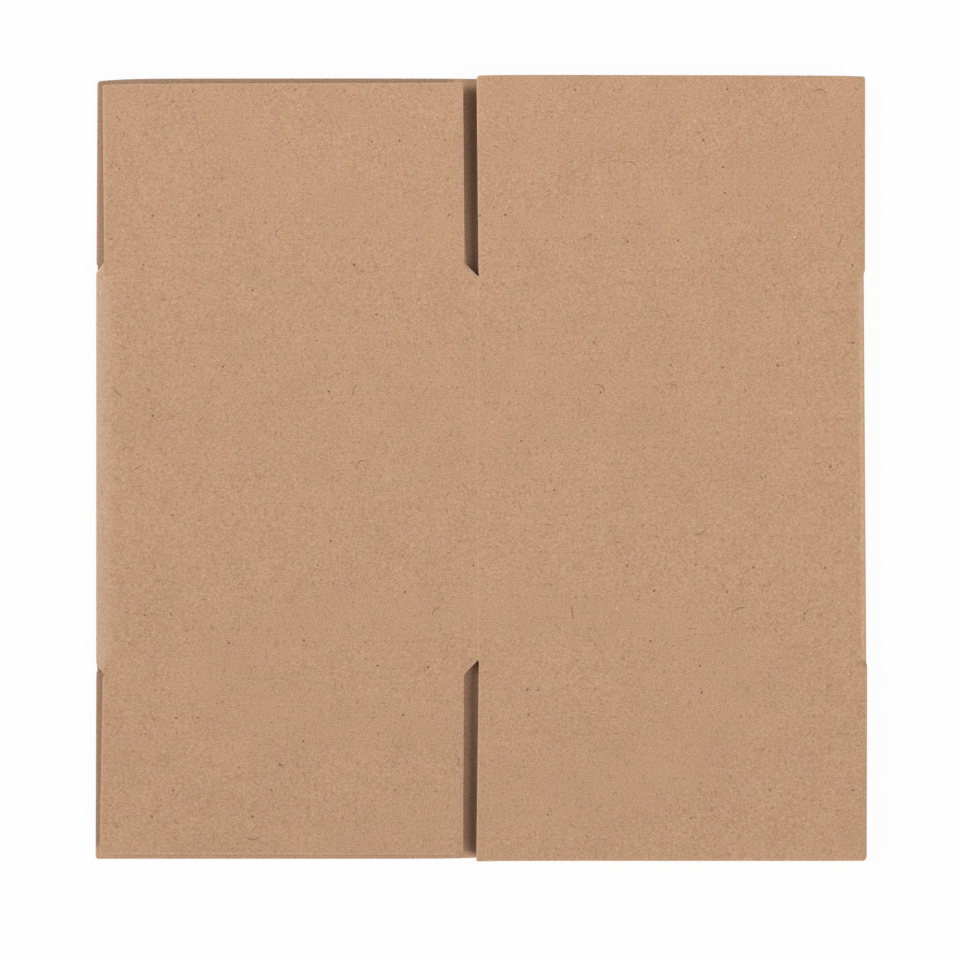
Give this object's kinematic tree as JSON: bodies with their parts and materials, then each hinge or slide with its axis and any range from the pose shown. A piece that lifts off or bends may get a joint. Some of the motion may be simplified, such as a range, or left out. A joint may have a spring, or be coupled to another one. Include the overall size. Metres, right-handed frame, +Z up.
{
  "type": "flattened cardboard box",
  "caption": "Flat-packed slotted carton of corrugated kraft board, glued into a flat tube, with upper flaps that lift on their creases.",
  "frame": {"origin": "on the ground, under the middle of the flat outline", "axes": "+Z up through the two layers, +Y along the flutes towards the top flaps, +X across the panels towards the wide front panel"},
  "size_m": [0.3092, 0.3142, 0.008],
  "materials": {
    "kraft_board": "matte kraft paper"
  },
  "bodies": {
    "case": {"folded_case": "kraft_board"},
    "narrow_top": {"narrow_flap_top": "kraft_board"},
    "narrow_bottom": {"narrow_flap_bottom": "kraft_board"},
    "wide_top": {"wide_flap_top": "kraft_board"},
    "wide_bottom": {"wide_flap_bottom": "kraft_board"}
  },
  "joints": [
    {"name": "narrow_top_crease", "type": "hinge", "parent": "case", "child": "narrow_top", "pos_m": [-0.0785, 0.0769, 0.008], "axis": [1, 0, 0], "range_deg": [0, 155]},
    {"name": "narrow_bottom_crease", "type": "hinge", "parent": "case", "child": "narrow_bottom", "pos_m": [-0.0785, -0.0769, 0.008], "axis": [-1, 0, 0], "range_deg": [0, 155]},
    {"name": "wide_top_crease", "type": "hinge", "parent": "case", "child": "wide_top", "pos_m": [0.0765, 0.0769, 0.008], "axis": [1, 0, 0], "range_deg": [0, 155]},
    {"name": "wide_bottom_crease", "type": "hinge", "parent": "case", "child": "wide_bottom", "pos_m": [0.0765, -0.0769, 0.008], "axis": [-1, 0, 0], "range_deg": [0, 155]}
  ]
}
